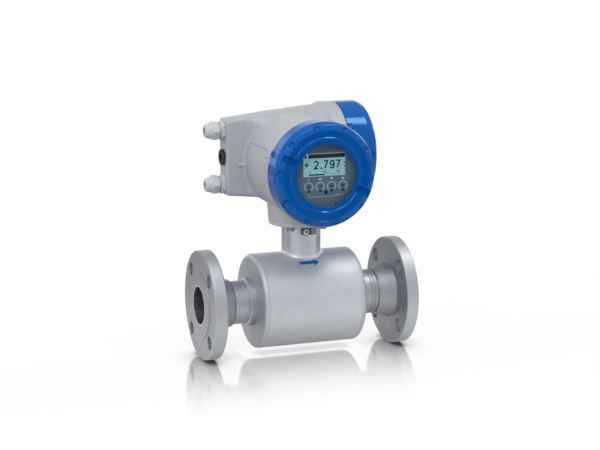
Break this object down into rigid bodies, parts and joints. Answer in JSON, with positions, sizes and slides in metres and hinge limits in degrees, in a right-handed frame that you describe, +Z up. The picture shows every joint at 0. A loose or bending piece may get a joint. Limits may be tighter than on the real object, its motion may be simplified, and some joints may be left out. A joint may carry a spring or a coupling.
{
  "type": "ultrasonic flow meter",
  "caption": "Flanged in-line flow meter: a measuring tube in a round steel shell, with a converter head on a neck, a round display window, screwed covers and side cable glands.",
  "frame": {"origin": "on the pipe axis, midway between the two flange faces", "axes": "+X along the flow from inlet to outlet, -Y the way the display faces, +Z up through the neck"},
  "size_m": [0.3, 0.236, 0.3437],
  "materials": {
    "stainless": "blasted, satin",
    "grey_paint": "satin paint",
    "blue_paint": "gloss paint",
    "screw_steel": "plain",
    "window_glass": "clear",
    "seal_rubber": "matt",
    "retainer_metal": "dark anodised",
    "gland_plastic": "satin",
    "plug_plastic": "satin",
    "display_face": "satin",
    "screen": "lit screen",
    "board": "lacquered board",
    "dark_plastic": "moulded",
    "transducer": "turned",
    "holder_steel": "turned"
  },
  "bodies": {
    "meter_body": {"base_screws": "screw_steel", "converter_housing": "grey_paint", "display_board": "board", "display_plate": "display_face", "earth_block": "screw_steel", "earth_clamp": "screw_steel", "earth_screw": "screw_steel", "earth_washer": "screw_steel", "electronics_carrier": "dark_plastic", "inlet_collar": "stainless", "inlet_end_plate": "stainless", "inlet_flange": "stainless", "lcd_panel": "screen", "lower_gland_body": "gland_plastic", "lower_gland_seal": "seal_rubber", "lower_inlet_holder": "holder_steel", "lower_inlet_transducer": "transducer", "lower_outlet_holder": "holder_steel", "lower_outlet_transducer": "transducer", "lower_spacers": "screw_steel", "measuring_tube": "stainless", "middle_inlet_holder": "holder_steel", "middle_inlet_transducer": "transducer", "middle_outlet_holder": "holder_steel", "middle_outlet_transducer": "transducer", "middle_spacers": "screw_steel", "neck_flange": "grey_paint", "neck_tube": "stainless", "outlet_collar": "stainless", "outlet_end_plate": "stainless", "outlet_flange": "stainless", "power_board": "board", "power_transformer": "dark_plastic", "sensor_shell": "stainless", "signal_board": "board", "terminal_block": "dark_plastic", "terminal_plate": "dark_plastic", "upper_gland_body": "gland_plastic", "upper_gland_seal": "seal_rubber", "upper_inlet_holder": "holder_steel", "upper_inlet_transducer": "transducer", "upper_outlet_holder": "holder_steel", "upper_outlet_transducer": "transducer", "upper_spacers": "screw_steel", "wire_feed": "dark_plastic"},
    "display_seal_body": {"display_cover_seal": "seal_rubber"},
    "display_cover_body": {"display_cover": "blue_paint", "display_lock_screw": "screw_steel", "window_gasket": "seal_rubber", "window_glass": "window_glass", "window_retainer": "retainer_metal"},
    "terminal_seal_body": {"terminal_cover_seal": "seal_rubber"},
    "terminal_cover_body": {"terminal_cover": "blue_paint", "terminal_lock_screw": "screw_steel"},
    "upper_clamp_body": {"upper_clamp_ring": "gland_plastic"},
    "upper_nut_body": {"upper_gland_nut": "gland_plastic"},
    "lower_clamp_body": {"lower_clamp_ring": "gland_plastic"},
    "lower_nut_body": {"lower_gland_nut": "gland_plastic"},
    "plug_seal_body": {"plug_seal": "seal_rubber"},
    "plug_body": {"blind_plug": "plug_plastic"}
  },
  "joints": [
    {"name": "display_cover_travel", "type": "slide", "parent": "meter_body", "child": "display_seal_body", "axis": [0, -1, 0], "range_m": [0, 0.01201]},
    {"name": "display_cover_turn", "type": "hinge", "parent": "display_seal_body", "child": "display_cover_body", "pos_m": [0, -0.066, 0.189], "axis": [0, -1, 0], "range_deg": [0, 1440]},
    {"name": "terminal_cover_travel", "type": "slide", "parent": "meter_body", "child": "terminal_seal_body", "axis": [1, 0, 0], "range_m": [0, 0.01201]},
    {"name": "terminal_cover_turn", "type": "hinge", "parent": "terminal_seal_body", "child": "terminal_cover_body", "pos_m": [0.0695, 0.06, 0.1955], "axis": [1, 0, 0], "range_deg": [0, 1440]},
    {"name": "upper_gland_nut_travel", "type": "slide", "parent": "meter_body", "child": "upper_clamp_body", "axis": [-1, 0, 0], "range_m": [0, 0.00451]},
    {"name": "upper_gland_nut_turn", "type": "hinge", "parent": "upper_clamp_body", "child": "upper_nut_body", "pos_m": [-0.094, 0.06, 0.2335], "axis": [-1, 0, 0], "range_deg": [0, 1080]},
    {"name": "lower_gland_nut_travel", "type": "slide", "parent": "meter_body", "child": "lower_clamp_body", "axis": [-1, 0, 0], "range_m": [0, 0.00451]},
    {"name": "lower_gland_nut_turn", "type": "hinge", "parent": "lower_clamp_body", "child": "lower_nut_body", "pos_m": [-0.094, 0.06, 0.1575], "axis": [-1, 0, 0], "range_deg": [0, 1080]},
    {"name": "blind_plug_travel", "type": "slide", "parent": "meter_body", "child": "plug_seal_body", "axis": [-1, 0, 0], "range_m": [0, 0.00901]},
    {"name": "blind_plug_turn", "type": "hinge", "parent": "plug_seal_body", "child": "plug_body", "pos_m": [-0.094, 0.06, 0.1955], "axis": [-1, 0, 0], "range_deg": [0, 2160]}
  ],
  "couplings": [
    {"joint": "display_cover_travel", "follows": "display_cover_turn", "m_per_rad": 0.00047746},
    {"joint": "terminal_cover_travel", "follows": "terminal_cover_turn", "m_per_rad": 0.00047746},
    {"joint": "upper_gland_nut_travel", "follows": "upper_gland_nut_turn", "m_per_rad": 0.00023873},
    {"joint": "lower_gland_nut_travel", "follows": "lower_gland_nut_turn", "m_per_rad": 0.00023873},
    {"joint": "blind_plug_travel", "follows": "blind_plug_turn", "m_per_rad": 0.00023873}
  ]
}
